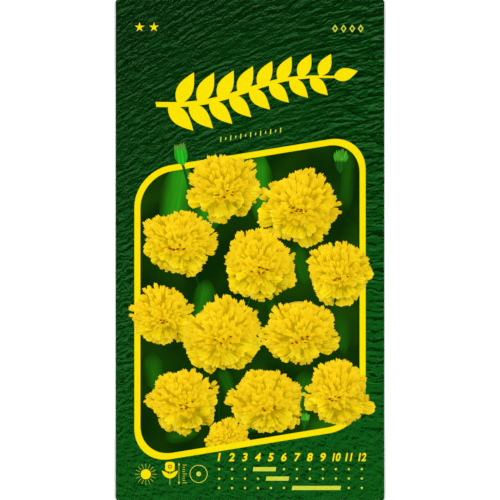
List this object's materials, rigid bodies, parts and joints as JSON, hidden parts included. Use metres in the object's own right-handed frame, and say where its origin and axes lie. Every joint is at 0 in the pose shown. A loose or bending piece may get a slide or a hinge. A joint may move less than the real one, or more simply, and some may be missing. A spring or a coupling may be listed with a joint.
{
  "type": "seed packet",
  "caption": "Flat sealed paper seed packet: a folded, glued envelope with a printed front, a back seam, end flaps and loose seeds inside.",
  "frame": {"origin": "on the surface the packet lies on, under the middle of its outer box", "axes": "+Z out of the printed front, +Y towards the packet's top edge, +X to the right as the front is read"},
  "size_m": [0.08, 0.1492, 0.003],
  "materials": {
    "printed_paper": "satin print on white paper",
    "dry_glue": "matte",
    "dry_seed": "matte"
  },
  "bodies": {
    "root": {"envelope": "printed_paper", "glue_seam": "dry_glue", "glue_bottom_flap": "dry_glue", "glue_top_flap": "dry_glue", "seeds": "dry_seed"}
  },
  "joints": []
}
